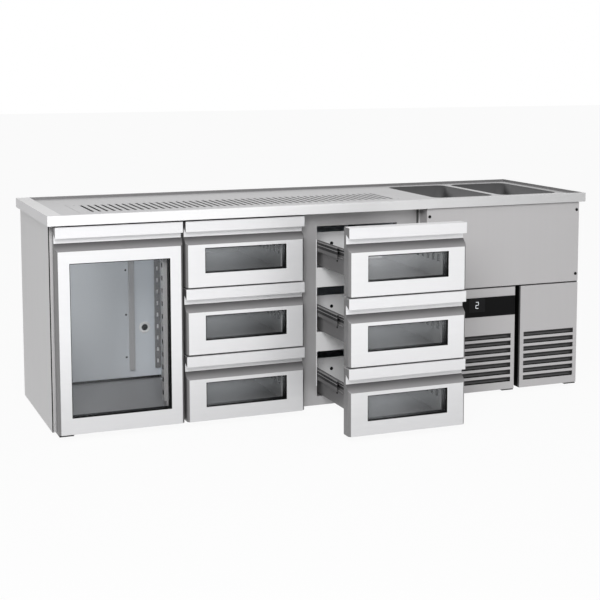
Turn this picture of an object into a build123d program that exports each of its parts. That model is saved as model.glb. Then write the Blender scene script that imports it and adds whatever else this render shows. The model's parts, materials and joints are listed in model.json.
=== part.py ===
"""Beer counter: a chilled cabinet with a glass door and six glass-fronted drawers beside a machine bay,
under one steel worktop with a drip grid and two sink bowls. Millimetres, +Z up, fronts towards -Y."""

import math
import os

from build123d import *

os.makedirs("parts", exist_ok=True)

# Cabinet body
foot_height = 20.0
body_height = 792.0
counter_depth = 700.0
left_wall = 55.0
right_wall = 25.0
back_wall = 45.0
floor_thickness = 37.0
ceiling_thickness = 59.0
pillar_sheet = 2.0
tray_thickness = 6.0

# Columns of fronts, from left to right, and the machine bay after them
column_margin = 14.0
front_width = 486.0
column_gap = 11.0
bay_margin = 41.0
bay_width = 728.0
bulkhead_gap = 4.0
bay_joint = 0.3

# Worktop
edge_height = 38.0
left_overhang = 15.0
right_overhang = 22.0
back_overhang = 10.0
front_setback = 15.0
recess_depth = 10.0
left_rim = 55.0
front_rim = 17.0
thin_rim = 6.0

# Drip grid and the pan under it
drip_left = 150.0
drip_front = 142.0
drip_right_reach = 45.0
slot_length = 240.0
slot_width = 11.0
slot_pitch = 28.0
slot_border = 30.0
slot_end_margin = 57.0
lifting_hole_radius = 4.0
lifting_hole_inset = 26.0
grid_thickness = 2.0
grid_clearance = 1.0
grid_lift = 0.3
pan_flange = 12.0
pan_flange_clearance = 1.0
pan_sheet = 2.0
pan_depth = 22.0
drain_radius = 16.0
drain_wall = 3.0
drain_flange = 8.0
drain_clearance = 1.0
drain_seat_clearance = 0.2
drain_spigot_radius = 15.0
drain_end = 6.0

# Sink bowls
bowl_width = 285.0
bowl_gap = 30.0
bowl_wall_gap = 5.0
bowl_length = 500.0
bowl_front = 130.0
bowl_depth = 200.0
bowl_sheet = 2.0
bowl_corner = 40.0
bowl_clearance = 0.2
waste_radius = 23.9
waste_wall = 4.0
waste_flange = 16.0
waste_flange_thickness = 3.0
waste_length = 80.0
waste_nut_radius = 33.0
waste_nut_height = 9.0
waste_clearance = 0.3
waste_pass_radius = 60.0

# Door and drawer fronts
front_thickness = 50.0
front_gap = 6.0
top_gap = 7.0
bottom_gap = 1.5
drawers_per_column = 3
plate_height = 42.0
plate_rise = 14.0
grip_height = 50.0
grip_slope = 29.0
grip_depth = 30.0
edge_chamfer = 8.5
drawer_window_side = 77.0
drawer_window_bottom = 54.0
drawer_window_top = 14.0
door_window_side = 51.0
door_window_bottom = 62.0
door_window_top = 45.0
lip_thickness = 6.0
glass_groove = 8.0
glass_thickness = 24.0
glass_clearance = 1.0
glass_play = 0.3
gasket_depth = 12.0
gasket_inset = 14.0
gasket_width = 16.0
seal_clearance = 0.3

# Front frame
frame_depth = 40.0
door_opening_inset = 55.0
drawer_opening_inset = 66.0
crossbar_height = 80.0

# Drawer boxes and their runners
drawer_open = 420.0
box_rise = 43.0
box_height = 103.0
box_back_rise = 20.0
box_sheet = 2.0
box_flange = 28.0
box_back_clearance = 40.0
vent_count = 6
vent_width = 7.0
vent_height = 18.0
vent_pitch = 44.0
vent_drop = 24.0
vent_start = 25.0
runner_height = 45.0
runner_sheet = 1.6
runner_play = 0.4
runner_web_gap = 1.0
runner_thickness = 14.0
runner_box_gap = 0.2
runner_lip = 10.0
runner_setback = 4.0
runner_back_clearance = 64.0

# Shelf pilasters of the door compartment
pilaster_width = 23.0
pilaster_depth = 8.0
pilaster_end_gap = 41.0
pilaster_side_gap = 1.0
pilaster_slot_width = 8.0
pilaster_slot_height = 18.0
pilaster_slot_pitch = 50.0
pilaster_slot_depth = 5.0
stile_strip_width = 36.0
stile_slot_width = 16.0
duct_width = 23.0
duct_depth = 12.0
duct_offset = 4.5
port_radius = 14.0
port_depth = 30.0
port_inset = 68.0
port_height = 221.0

# Hinges of the door and of the two lower bay panels
hinge_inset = 12.0
hinge_plate_width = 54.0
hinge_plate_thickness = 4.0
hinge_plate_reach = 60.0
hinge_plate_nose = 10.0
pin_radius = 4.0
pin_length = 12.0
pin_clearance = 0.2

# Machine bay fronts
grille_width = 282.0
panel_split = 27.0
lower_panel_height = 440.0
panel_gap = 6.0
service_gap = 3.0
panel_sheet = 2.0
panel_depth = 45.0
bay_post = 30.0
bay_rail = 32.0
bay_crossbar = 35.0
bay_mullion = 50.0
bay_frame_depth = 30.0
louvre_count = 7
louvre_pitch = 31.5
louvre_height = 20.0
louvre_bottom = 32.0
louvre_margin = 18.0
louvre_reach = 13.0
louvre_drop = 11.0
louvre_sheet = 1.5
fascia_height = 82.0
fascia_drop = 37.0
fascia_thickness = 3.0
fascia_margin = 1.0
screw_inset_x = 12.0
screw_inset_z = 32.0
screw_head_radius = 6.5
screw_head_height = 3.0
screw_radius = 3.0
screw_bite = 12.0
screw_clearance = 0.2

# Cooling unit
condenser_width = 300.0
condenser_height = 290.0
condenser_depth = 60.0
condenser_gap = 12.0
condenser_side_gap = 55.0
condenser_fin_count = 15
condenser_fin_depth = 12.0
condenser_fin_slot = 8.0
condenser_rim = 12.0
shroud_sheet = 3.0
fan_radius = 120.0
fan_tip_clearance = 6.0
fan_gap = 10.0
fan_hub_radius = 26.0
fan_hub_length = 24.0
fan_blade_count = 5
fan_blade_width = 70.0
fan_blade_thickness = 2.5
fan_blade_pitch = 28.0
shaft_radius = 4.0
shaft_clearance = 0.2
motor_radius = 34.0
motor_length = 55.0
motor_gap = 8.0
motor_post_width = 30.0
motor_post_length = 27.5
compressor_radius = 88.0
compressor_height = 215.0
compressor_dome = 40.0
compressor_foot_count = 3
compressor_foot_circle = 62.0
compressor_foot_radius = 14.0
compressor_foot_height = 16.0
compressor_side_gap = 45.0
compressor_back_gap = 20.0
vent_slot_count = 8
vent_slot_height = 8.0
vent_slot_pitch = 24.0
vent_slot_width = 260.0
evaporator_length = 300.0
evaporator_height = 340.0
evaporator_plate = 3.0
evaporator_fin_gap = 14.0
evaporator_front_gap = 90.0
evaporator_rise = 165.0

# Levelling feet
foot_radius = 24.0
foot_pad_height = 9.0
foot_stem_radius = 8.0
foot_inset_x = 60.0
foot_inset_y = 75.0

# Planes of the body, worked out from the sizes above
counter_width = (
    left_overhang + column_margin + 3 * front_width + 2 * column_gap
    + bay_margin + bay_width + right_overhang
)
counter_height = foot_height + body_height + edge_height
left_end = -counter_width / 2
right_end = counter_width / 2
drawer_reach = drawer_open - front_setback
front_edge = drawer_reach - (counter_depth + drawer_reach) / 2
back_edge = front_edge + counter_depth
body_left = left_end + left_overhang
body_right = right_end - right_overhang
body_back = back_edge - back_overhang
body_bottom = foot_height
body_top = foot_height + body_height
left_inside = body_left + left_wall
right_inside = body_right - right_wall
back_inside = body_back - back_wall
floor_top = body_bottom + floor_thickness
ceiling_bottom = body_top - ceiling_thickness

front_face = front_edge + front_setback
front_back = front_face + front_thickness
frame_face = front_back + gasket_depth
frame_back = frame_face + frame_depth
front_bottom = body_bottom + bottom_gap
front_top = body_top - top_gap
drawer_front_height = (front_top - front_bottom - (drawers_per_column - 1) * front_gap) / drawers_per_column
drawer_pitch = drawer_front_height + front_gap

column_left = [body_left + column_margin + i * (front_width + column_gap) for i in range(3)]
opening_inset = [door_opening_inset, drawer_opening_inset, drawer_opening_inset]
opening_left = [x + inset for x, inset in zip(column_left, opening_inset)]
opening_right = [x + front_width - inset for x, inset in zip(column_left, opening_inset)]
bay_left = column_left[2] + front_width + bay_margin
bay_right = bay_left + bay_width
bulkhead_right = bay_left - bulkhead_gap
drain_x = (opening_right[2] + bulkhead_right) / 2

runner_start = frame_face + runner_setback
runner_length = back_inside - runner_back_clearance - runner_start
box_length = back_inside - box_back_clearance - front_back


def block(x0, x1, y0, y1, z0, z1, mode=Mode.ADD):
    """A square block between two places on each axis, in the builder that is open."""
    with Locations(((x0 + x1) / 2, (y0 + y1) / 2, (z0 + z1) / 2)):
        Box(x1 - x0, y1 - y0, z1 - z0, mode=mode)


def post(x, y, z0, z1, radius, mode=Mode.ADD):
    """A round upright between two heights, in the builder that is open."""
    with Locations((x, y, (z0 + z1) / 2)):
        Cylinder(radius, z1 - z0, mode=mode)


def save(piece, name):
    piece.part.label = name
    export_step(piece.part, f"parts/{name}.step")


# Worktop, with its shallow recess and the cut-outs for the drip pan and the bowls
deck = counter_height - recess_depth
drip_x0 = left_end + drip_left
drip_x1 = drain_x + drip_right_reach
drip_y0 = front_edge + drip_front
drip_y1 = drip_y0 + slot_length + 2 * slot_border
flange_drop = pan_sheet + grid_thickness + grid_lift
right_bowl = right_inside - bowl_wall_gap - bowl_width
bowl_x = [right_bowl - bowl_gap - bowl_width, right_bowl]
bowl_y0 = front_edge + bowl_front
bowl_y1 = bowl_y0 + bowl_length

with BuildPart() as worktop:
    block(left_end, right_end, front_edge, back_edge, body_top, counter_height)
    block(
        left_end + left_rim, right_end - thin_rim, front_edge + front_rim, back_edge - thin_rim,
        deck, counter_height, Mode.SUBTRACT,
    )
    block(drip_x0, drip_x1, drip_y0, drip_y1, deck - flange_drop, deck, Mode.SUBTRACT)
    block(
        drip_x0 + pan_flange, drip_x1 - pan_flange, drip_y0 + pan_flange, drip_y1 - pan_flange,
        body_top, deck, Mode.SUBTRACT,
    )
    with BuildSketch(Plane.XY.offset(body_top)):
        for x in bowl_x:
            with Locations((x + bowl_width / 2, (bowl_y0 + bowl_y1) / 2)):
                RectangleRounded(bowl_width, bowl_length, bowl_corner)
    extrude(amount=deck - body_top, mode=Mode.SUBTRACT)
save(worktop, "worktop")

# Drip pan, hung by its flange in the worktop
pan_floor = deck - flange_drop - pan_depth
pan_wall = pan_flange + pan_flange_clearance
drain_y = (drip_y0 + drip_y1) / 2
with BuildPart() as drip_pan:
    block(
        drip_x0 + pan_flange_clearance, drip_x1 - pan_flange_clearance,
        drip_y0 + pan_flange_clearance, drip_y1 - pan_flange_clearance,
        deck - flange_drop, deck - flange_drop + pan_sheet,
    )
    block(
        drip_x0 + pan_wall, drip_x1 - pan_wall, drip_y0 + pan_wall, drip_y1 - pan_wall,
        pan_floor, deck - flange_drop,
    )
    block(
        drip_x0 + pan_wall + pan_sheet, drip_x1 - pan_wall - pan_sheet,
        drip_y0 + pan_wall + pan_sheet, drip_y1 - pan_wall - pan_sheet,
        pan_floor + pan_sheet, deck, Mode.SUBTRACT,
    )
    drain_hole = drain_radius + drain_seat_clearance
    post(drain_x, drain_y, pan_floor, pan_floor + pan_sheet, drain_hole, Mode.SUBTRACT)
save(drip_pan, "drip_pan")

# Drip grid: a slotted plate that lifts out of the pan's flange
slot_count = int((drip_x1 - drip_x0 - 2 * slot_end_margin) // slot_pitch) + 1
slot_x0 = drip_x0 + slot_end_margin
lifting_x = [slot_x0 - lifting_hole_inset, slot_x0 + (slot_count - 1) * slot_pitch + lifting_hole_inset]
slot_middle = (drip_y0 + drip_y1) / 2
grid_bottom = deck - grid_thickness
with BuildPart() as drip_grid:
    with BuildSketch(Plane.XY.offset(grid_bottom)):
        with Locations(((drip_x0 + drip_x1) / 2, slot_middle)):
            Rectangle(drip_x1 - drip_x0 - 2 * grid_clearance, drip_y1 - drip_y0 - 2 * grid_clearance)
        with Locations((slot_x0 + (slot_count - 1) * slot_pitch / 2, slot_middle)):
            with GridLocations(slot_pitch, 0, slot_count, 1):
                SlotOverall(slot_length, slot_width, rotation=90, mode=Mode.SUBTRACT)
        for x in lifting_x:
            with Locations((x, slot_middle - slot_length / 2), (x, slot_middle + slot_length / 2)):
                Circle(lifting_hole_radius, mode=Mode.SUBTRACT)
    extrude(amount=grid_thickness)
save(drip_grid, "drip_grid")

# Two pressed bowls, welded under the worktop's cut-outs
bowl_bottom = deck - bowl_depth
with BuildPart() as sink_bowls:
    for shrink, base, mode in (
        (bowl_clearance, bowl_bottom, Mode.ADD),
        (bowl_clearance + bowl_sheet, bowl_bottom + bowl_sheet, Mode.SUBTRACT),
    ):
        with BuildSketch(Plane.XY.offset(base)):
            for x in bowl_x:
                with Locations((x + bowl_width / 2, (bowl_y0 + bowl_y1) / 2)):
                    RectangleRounded(bowl_width - 2 * shrink, bowl_length - 2 * shrink, bowl_corner - shrink)
        extrude(amount=deck - base, mode=mode)
    for x in bowl_x:
        post(
            x + bowl_width / 2, (bowl_y0 + bowl_y1) / 2, bowl_bottom, bowl_bottom + bowl_sheet,
            waste_radius + waste_clearance, Mode.SUBTRACT,
        )
save(sink_bowls, "sink_bowls")

# Waste fittings of the bowls with their back nuts, and the drip pan's drain, which runs down through the
# bulkhead to a hose spigot
waste_seat = bowl_bottom + bowl_sheet
drain_seat = pan_floor + pan_sheet
with BuildPart() as wastes:
    for x in bowl_x:
        centre = (x + bowl_width / 2, (bowl_y0 + bowl_y1) / 2)
        post(*centre, waste_seat - waste_length, waste_seat, waste_radius)
        post(*centre, waste_seat, waste_seat + waste_flange_thickness, waste_radius + waste_flange)
        post(*centre, bowl_bottom - waste_nut_height, bowl_bottom, waste_nut_radius)
        post(
            *centre, waste_seat - waste_length, waste_seat + waste_flange_thickness,
            waste_radius - waste_wall, Mode.SUBTRACT,
        )
    post(drain_x, drain_y, body_bottom, drain_seat, drain_radius)
    post(drain_x, drain_y, drain_end, body_bottom, drain_spigot_radius)
    post(drain_x, drain_y, drain_seat, drain_seat + pan_sheet, drain_radius + drain_flange)
    post(drain_x, drain_y, drain_end, drain_seat + pan_sheet, drain_radius - drain_wall, Mode.SUBTRACT)
save(wastes, "wastes")

# Insulated left wall
with BuildPart() as left_side:
    block(body_left, left_inside, frame_face, body_back, body_bottom, body_top)
save(left_side, "left_wall")

# Right wall of the machine bay, drilled for the service panel's screws
bay_bottom = front_bottom + lower_panel_height + panel_gap
service_top = body_top - service_gap
screw_x = [bay_left + screw_inset_x, bay_right - screw_inset_x]
screw_z = [bay_bottom + screw_inset_z, service_top - screw_inset_z]
with BuildPart() as right_side:
    block(right_inside, body_right, frame_face, body_back, body_bottom, body_top)
    with BuildSketch(Plane.XZ.offset(-frame_face)):
        with Locations(*[(screw_x[1], z) for z in screw_z]):
            Circle(screw_radius + screw_clearance)
    extrude(amount=-screw_bite, mode=Mode.SUBTRACT)
save(right_side, "right_wall")

# Back panel, slotted behind the machine bay for the condenser's air, with a port in the door compartment
vent_x = (bulkhead_right + right_inside) / 2
compartment_right = opening_left[1] - pillar_sheet
with BuildPart() as back_panel:
    block(left_inside, right_inside, back_inside, body_back, body_bottom, body_top)
    vent_z = floor_top + vent_slot_pitch * (vent_slot_count + 1) / 2
    with BuildSketch(Plane.XZ.offset(-back_inside)):
        with Locations((vent_x, vent_z)):
            with GridLocations(0, vent_slot_pitch, 1, vent_slot_count):
                Rectangle(vent_slot_width, vent_slot_height)
    extrude(amount=-back_wall, mode=Mode.SUBTRACT)
    with BuildSketch(Plane.XZ.offset(-back_inside)):
        with Locations((compartment_right - port_inset, floor_top + port_height)):
            Circle(port_radius)
    extrude(amount=-port_depth, mode=Mode.SUBTRACT)
save(back_panel, "back_panel")

# Insulated floor of the cold cabinet, and the tray under the machine with passages for the waste pipes
with BuildPart() as floor_panels:
    block(left_inside, bulkhead_right, frame_back, back_inside, body_bottom, floor_top)
    post(drain_x, drain_y, body_bottom, floor_top, drain_radius + drain_clearance, Mode.SUBTRACT)
    block(
        bulkhead_right + bay_joint, right_inside, frame_face, back_inside,
        body_bottom, body_bottom + tray_thickness,
    )
    for x in bowl_x:
        post(
            x + bowl_width / 2, (bowl_y0 + bowl_y1) / 2, body_bottom, body_bottom + tray_thickness,
            waste_pass_radius, Mode.SUBTRACT,
        )
save(floor_panels, "floor_panels")

# Insulated ceiling under the worktop
with BuildPart() as ceiling_panel:
    block(left_inside, bulkhead_right, frame_back, back_inside, ceiling_bottom, body_top)
    post(drain_x, drain_y, ceiling_bottom, body_top, drain_radius + drain_clearance, Mode.SUBTRACT)
save(ceiling_panel, "ceiling_panel")

# Insulated bulkhead between the last drawers and the machine bay
with BuildPart() as bulkhead:
    block(opening_right[2], bulkhead_right, frame_back, back_inside, floor_top, ceiling_bottom)
    post(drain_x, drain_y, floor_top, ceiling_bottom, drain_radius + drain_clearance, Mode.SUBTRACT)
save(bulkhead, "bulkhead")

# The wall beside the door compartment, and the hollow pillar between the drawers, which hides the
# evaporator; both carry runners
with BuildPart() as pillars:
    block(compartment_right, opening_left[1], frame_back, back_inside, floor_top, ceiling_bottom)
    left, right = opening_right[1], opening_left[2]
    block(left, right, frame_back, back_inside, floor_top, ceiling_bottom)
    block(
        left + pillar_sheet, right - pillar_sheet, frame_back + pillar_sheet, back_inside - pillar_sheet,
        floor_top, ceiling_bottom, Mode.SUBTRACT,
    )
save(pillars, "pillars")

# Front frame of the cold cabinet: one door opening and two columns of drawer openings
drawer_bottom = [front_bottom + i * drawer_pitch for i in range(drawers_per_column)]
crossbar_middle = [z - front_gap / 2 for z in drawer_bottom[1:]]
opening_floor = [floor_top] + [z + crossbar_height / 2 for z in crossbar_middle]
opening_ceiling = [z - crossbar_height / 2 for z in crossbar_middle] + [ceiling_bottom]
with BuildPart() as front_frame:
    block(left_inside, bulkhead_right, frame_face, frame_back, body_bottom, body_top)
    block(
        opening_left[0], opening_right[0], frame_face, frame_back, floor_top, ceiling_bottom, Mode.SUBTRACT
    )
    for column in (1, 2):
        for low, high in zip(opening_floor, opening_ceiling):
            block(
                opening_left[column], opening_right[column], frame_face, frame_back,
                low, high, Mode.SUBTRACT,
            )
save(front_frame, "front_frame")

# Frame of the machine bay, behind the service panel and the two lower panels
control_right = bay_right - grille_width - panel_split
grille_left = bay_right - grille_width
mullion_middle = (control_right + grille_left) / 2
tray_top = body_bottom + tray_thickness
crossbar_z = front_bottom + lower_panel_height + panel_gap / 2
bay_left_inside = bulkhead_right + bay_joint
with BuildPart() as bay_frame:
    block(bay_left_inside, right_inside, frame_face, frame_face + bay_frame_depth, tray_top, body_top)
    block(
        bay_left_inside + bay_post, right_inside - bay_post, frame_face, frame_face + bay_frame_depth,
        crossbar_z + bay_crossbar / 2, body_top - bay_rail, Mode.SUBTRACT,
    )
    for left, right in (
        (bay_left_inside + bay_post, mullion_middle - bay_mullion / 2),
        (mullion_middle + bay_mullion / 2, right_inside - bay_post),
    ):
        block(
            left, right, frame_face, frame_face + bay_frame_depth,
            tray_top + bay_rail, crossbar_z - bay_crossbar / 2, Mode.SUBTRACT,
        )
    with BuildSketch(Plane.XZ.offset(-frame_face)):
        with Locations(*[(screw_x[0], z) for z in screw_z]):
            Circle(screw_radius + screw_clearance)
    extrude(amount=-screw_bite, mode=Mode.SUBTRACT)
save(bay_frame, "bay_frame")


def folded_pan(x0, x1, z0, z1, depth):
    """A cover folded from one sheet: a face with four returns, open at the back."""
    block(x0, x1, front_face, front_face + depth, z0, z1)
    block(
        x0 + panel_sheet, x1 - panel_sheet, front_face + panel_sheet, front_face + depth,
        z0 + panel_sheet, z1 - panel_sheet, Mode.SUBTRACT,
    )


def louvres(x0, x1):
    """A row of pressed louvres across a lower panel: a slot with a blade that slopes down behind it."""
    left = x0 + louvre_margin
    right = x1 - louvre_margin
    for i in range(louvre_count):
        low = front_bottom + louvre_bottom + i * louvre_pitch
        high = low + louvre_height
        block(left, right, front_face, front_face + panel_sheet, low, high, Mode.SUBTRACT)
        with BuildSketch(Plane.YZ.offset(left)) as blade:
            with BuildLine():
                Polyline(
                    (front_face, high), (front_face + louvre_reach, high - louvre_drop),
                    (front_face + louvre_reach, high - louvre_drop + louvre_sheet),
                    (front_face, high + louvre_sheet), close=True,
                )
            make_face()
        extrude(blade.sketch, amount=right - left)


# Service panel and its four screws
with BuildPart() as service_panel:
    folded_pan(bay_left, bay_right, bay_bottom, service_top, frame_face - front_face)
    with BuildSketch(Plane.XZ.offset(-front_face)):
        with Locations(*[(x, z) for x in screw_x for z in screw_z]):
            Circle(screw_radius + screw_clearance)
    extrude(amount=-panel_sheet, mode=Mode.SUBTRACT)
save(service_panel, "service_panel")

with BuildPart() as panel_screws:
    with BuildSketch(Plane.XZ.offset(-front_face)):
        with Locations(*[(x, z) for x in screw_x for z in screw_z]):
            Circle(screw_head_radius)
    extrude(amount=screw_head_height)
    with BuildSketch(Plane.XZ.offset(-front_face)):
        with Locations(*[(x, z) for x in screw_x for z in screw_z]):
            Circle(screw_radius)
    extrude(amount=-(frame_face - front_face + screw_bite))
save(panel_screws, "panel_screws")

# Control panel and grille panel, each hung on two pins at its right edge
lower_top = front_bottom + lower_panel_height
hinge_y = front_face + hinge_inset
control_hinge_x = control_right - hinge_inset
grille_hinge_x = bay_right - hinge_inset


def pin_holes(x, z0, z1, depth):
    """Bores for the hinge pins in the underside and the top of a door or a panel."""
    post(x, hinge_y, z0, z0 + depth, pin_radius + pin_clearance, Mode.SUBTRACT)
    post(x, hinge_y, z1 - depth, z1, pin_radius + pin_clearance, Mode.SUBTRACT)


with BuildPart() as control_panel:
    folded_pan(bay_left, control_right, front_bottom, lower_top, panel_depth)
    louvres(bay_left, control_right)
    pin_holes(control_hinge_x, front_bottom, lower_top, panel_sheet)
save(control_panel, "control_panel")

with BuildPart() as grille_panel:
    folded_pan(grille_left, bay_right, front_bottom, lower_top, panel_depth)
    louvres(grille_left, bay_right)
    pin_holes(grille_hinge_x, front_bottom, lower_top, panel_sheet)
save(grille_panel, "grille_panel")

with BuildPart() as control_fascia:
    block(
        bay_left + fascia_margin, control_right - fascia_margin, front_face - fascia_thickness, front_face,
        lower_top - fascia_drop - fascia_height, lower_top - fascia_drop,
    )
save(control_fascia, "control_fascia")

# Hinge plates with welded pins: under and over the door, and at the right edges of the lower panels
door_hinge_x = column_left[0] + hinge_inset
plate_front = hinge_y - hinge_plate_nose
panel_plate_top = lower_top + (panel_gap + hinge_plate_thickness) / 2
with BuildPart() as hinge_plates:
    for x, inward, upper_seat in (
        (door_hinge_x, 1, body_top),
        (control_hinge_x, -1, panel_plate_top),
        (grille_hinge_x, -1, panel_plate_top),
    ):
        outer_end = x - inward * hinge_plate_nose
        ends = sorted((outer_end, outer_end + inward * hinge_plate_width))
        lower_seat = body_bottom - hinge_plate_thickness
        block(*ends, plate_front, frame_face + hinge_plate_reach, lower_seat, body_bottom)
        post(x, hinge_y, lower_seat, body_bottom + pin_length, pin_radius)
        block(*ends, plate_front, frame_face, upper_seat - hinge_plate_thickness, upper_seat)
        post(x, hinge_y, upper_seat - hinge_plate_thickness - pin_length, upper_seat, pin_radius)
save(hinge_plates, "hinge_plates")


def make_front(name, x0, y0, z0, z1, window):
    """Front, glass and gasket of a door or drawer with its face at y0 and a grip under its top edge."""
    side, bottom, top = window
    x1 = x0 + front_width
    face_top = z1 - plate_height - grip_height
    with BuildPart() as front:
        with BuildSketch(Plane.YZ.offset(x0)):
            with BuildLine():
                Polyline(
                    (y0, z0), (y0, face_top), (y0 + grip_depth, face_top + grip_slope),
                    (y0 + grip_depth, z1 - plate_height + plate_rise), (y0, z1 - plate_height), (y0, z1),
                    (y0 + front_thickness, z1), (y0 + front_thickness, z0), close=True,
                )
            make_face()
        extrude(amount=front_width)
        face_edges = front.edges().filter_by(Axis.Z).filter_by_position(Axis.Z, z0, face_top)
        chamfer(face_edges.group_by(Axis.Y)[0], length=edge_chamfer)
        block(
            x0 + side, x1 - side, y0, y0 + front_thickness, z0 + bottom, face_top - top, Mode.SUBTRACT
        )
        block(
            x0 + side - glass_groove, x1 - side + glass_groove,
            y0 + lip_thickness, y0 + lip_thickness + glass_thickness + glass_play,
            z0 + bottom - glass_groove, face_top - top + glass_groove, Mode.SUBTRACT,
        )
        if name == "door":
            pin_holes(door_hinge_x, z0, z1, pin_length + bottom_gap)
    save(front, f"{name}_front")
    spare = glass_groove - glass_clearance
    with BuildPart() as glass:
        block(
            x0 + side - spare, x1 - side + spare, y0 + lip_thickness, y0 + lip_thickness + glass_thickness,
            z0 + bottom - spare, face_top - top + spare,
        )
    save(glass, f"{name}_glass")
    seal_y0 = y0 + front_thickness
    seal_y1 = seal_y0 + gasket_depth - seal_clearance
    inner = gasket_inset + gasket_width
    with BuildPart() as gasket:
        block(
            x0 + gasket_inset, x1 - gasket_inset, seal_y0, seal_y1, z0 + gasket_inset, z1 - gasket_inset
        )
        block(x0 + inner, x1 - inner, seal_y0, seal_y1, z0 + inner, z1 - inner, Mode.SUBTRACT)
    save(gasket, f"{name}_gasket")


make_front(
    "door", column_left[0], front_face, front_bottom, front_top,
    (door_window_side, door_window_bottom, door_window_top),
)


def channels(members, y0):
    """Runner members folded from sheet: wall, side, height, back, inside, end of the lips, half height."""
    with BuildSketch(Plane.XZ.offset(-y0)) as profile:
        for wall, side, z, back, inside, lip_end, half in members:
            with BuildLine():
                Polyline(
                    *[
                        (wall + side * reach, z + rise)
                        for reach, rise in (
                            (back, -half), (lip_end, -half), (lip_end, runner_sheet - half),
                            (inside, runner_sheet - half), (inside, half - runner_sheet),
                            (lip_end, half - runner_sheet), (lip_end, half), (back, half),
                        )
                    ],
                    close=True,
                )
            make_face()
    extrude(profile.sketch, amount=-runner_length)


# Nested runner members, from the wall to the box: back and inside of the web, end of the lips, half height
nest = runner_sheet + runner_play
outer_half = runner_height / 2
middle_back = runner_sheet + runner_web_gap
middle_inside = middle_back + runner_sheet
wall_member = (0, runner_sheet, runner_lip, outer_half)
middle_member = (middle_back, middle_inside, runner_lip + runner_web_gap, outer_half - nest)
inner_member = (
    runner_thickness, runner_thickness - runner_sheet, middle_inside + runner_web_gap, outer_half - 2 * nest,
)


def make_drawer(name, column, z0, shift):
    """Front, glass, gasket, box and sliding runner members of a drawer that is pulled out by shift."""
    x0 = column_left[column]
    make_front(
        name, x0, front_face - shift, z0, z0 + drawer_front_height,
        (drawer_window_side, drawer_window_bottom, drawer_window_top),
    )
    left = opening_left[column] + runner_thickness + runner_box_gap
    right = opening_right[column] - runner_thickness - runner_box_gap
    walls = ((opening_left[column], 1), (opening_right[column], -1))
    near = front_back - shift
    far = near + box_length
    low = z0 + box_rise
    high = low + box_height
    runner_z = high - outer_half
    with BuildPart() as box:
        block(left, right, near, far, low, high)
        block(
            left + box_sheet, right - box_sheet, near, far - box_sheet, low + box_sheet, high, Mode.SUBTRACT
        )
        block(left, right, far - box_sheet, far, low, high + box_back_rise)
        for a, b in ((left - box_flange, left + box_sheet), (right - box_sheet, right + box_flange)):
            block(a, b, near, near + box_sheet, low, high)
        with BuildSketch(Plane.YZ.offset(left)) as vents:
            with Locations((near + vent_start + (vent_count - 1) * vent_pitch / 2, high - vent_drop)):
                with GridLocations(vent_pitch, 0, vent_count, 1):
                    SlotOverall(vent_height, vent_width, rotation=90)
        extrude(vents.sketch, amount=right - left, mode=Mode.SUBTRACT)
        channels([(*wall, runner_z, *inner_member) for wall in walls], runner_start - shift)
    save(box, f"{name}_box")
    with BuildPart() as runners:
        channels([(*wall, runner_z, *middle_member) for wall in walls], runner_start - shift / 2)
    save(runners, f"{name}_runners")


# The left column of drawers is shut and the right column is pulled out
for column, column_name, shift in ((1, "left", 0.0), (2, "right", drawer_open)):
    for row, z in enumerate(reversed(drawer_bottom)):
        make_drawer(f"{column_name}_drawer_{row + 1}", column, z, shift)

# Runner members fixed to the pillars and the bulkhead
with BuildPart() as runner_rails:
    channels(
        [
            (wall, side, z + box_rise + box_height - outer_half, *wall_member)
            for column in (1, 2)
            for wall, side in ((opening_left[column], 1), (opening_right[column], -1))
            for z in drawer_bottom
        ],
        runner_start,
    )
save(runner_rails, "runner_rails")

# Slotted shelf uprights of the door compartment, two on the back wall and two on the frame's stiles, and a
# plain duct cover on the back wall
pilaster_low = floor_top + pilaster_end_gap
pilaster_high = ceiling_bottom - pilaster_end_gap
pilaster_slots = int((pilaster_high - pilaster_low) // pilaster_slot_pitch)
pilaster_middle = (pilaster_low + pilaster_high) / 2
pilaster_reach = pilaster_side_gap + pilaster_width / 2
pilaster_x = [left_inside + pilaster_reach, compartment_right - pilaster_reach]
stile_middle = (frame_face + frame_back) / 2
duct_x = opening_right[0] + duct_offset
with BuildPart() as pilasters:
    for x in pilaster_x:
        block(
            x - pilaster_width / 2, x + pilaster_width / 2, back_inside - pilaster_depth, back_inside,
            pilaster_low, pilaster_high,
        )
    with BuildSketch(Plane.XZ.offset(pilaster_depth - back_inside)):
        with Locations(*[(x, pilaster_middle) for x in pilaster_x]):
            with GridLocations(0, pilaster_slot_pitch, 1, pilaster_slots):
                Rectangle(pilaster_slot_width, pilaster_slot_height)
    extrude(amount=-pilaster_slot_depth, mode=Mode.SUBTRACT)
    for wall, side in ((opening_left[0], 1), (opening_right[0], -1)):
        ends = sorted((wall, wall + side * pilaster_depth))
        block(
            *ends, stile_middle - stile_strip_width / 2, stile_middle + stile_strip_width / 2,
            pilaster_low, pilaster_high,
        )
        with BuildSketch(Plane.YZ.offset(wall + side * pilaster_depth)) as slots:
            with Locations((stile_middle, pilaster_middle)):
                with GridLocations(0, pilaster_slot_pitch, 1, pilaster_slots):
                    Rectangle(stile_slot_width, pilaster_slot_height)
        extrude(slots.sketch, amount=-side * pilaster_slot_depth, mode=Mode.SUBTRACT)
    block(
        duct_x - duct_width / 2, duct_x + duct_width / 2, back_inside - duct_depth, back_inside,
        pilaster_low, ceiling_bottom,
    )
save(pilasters, "pilasters")

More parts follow.
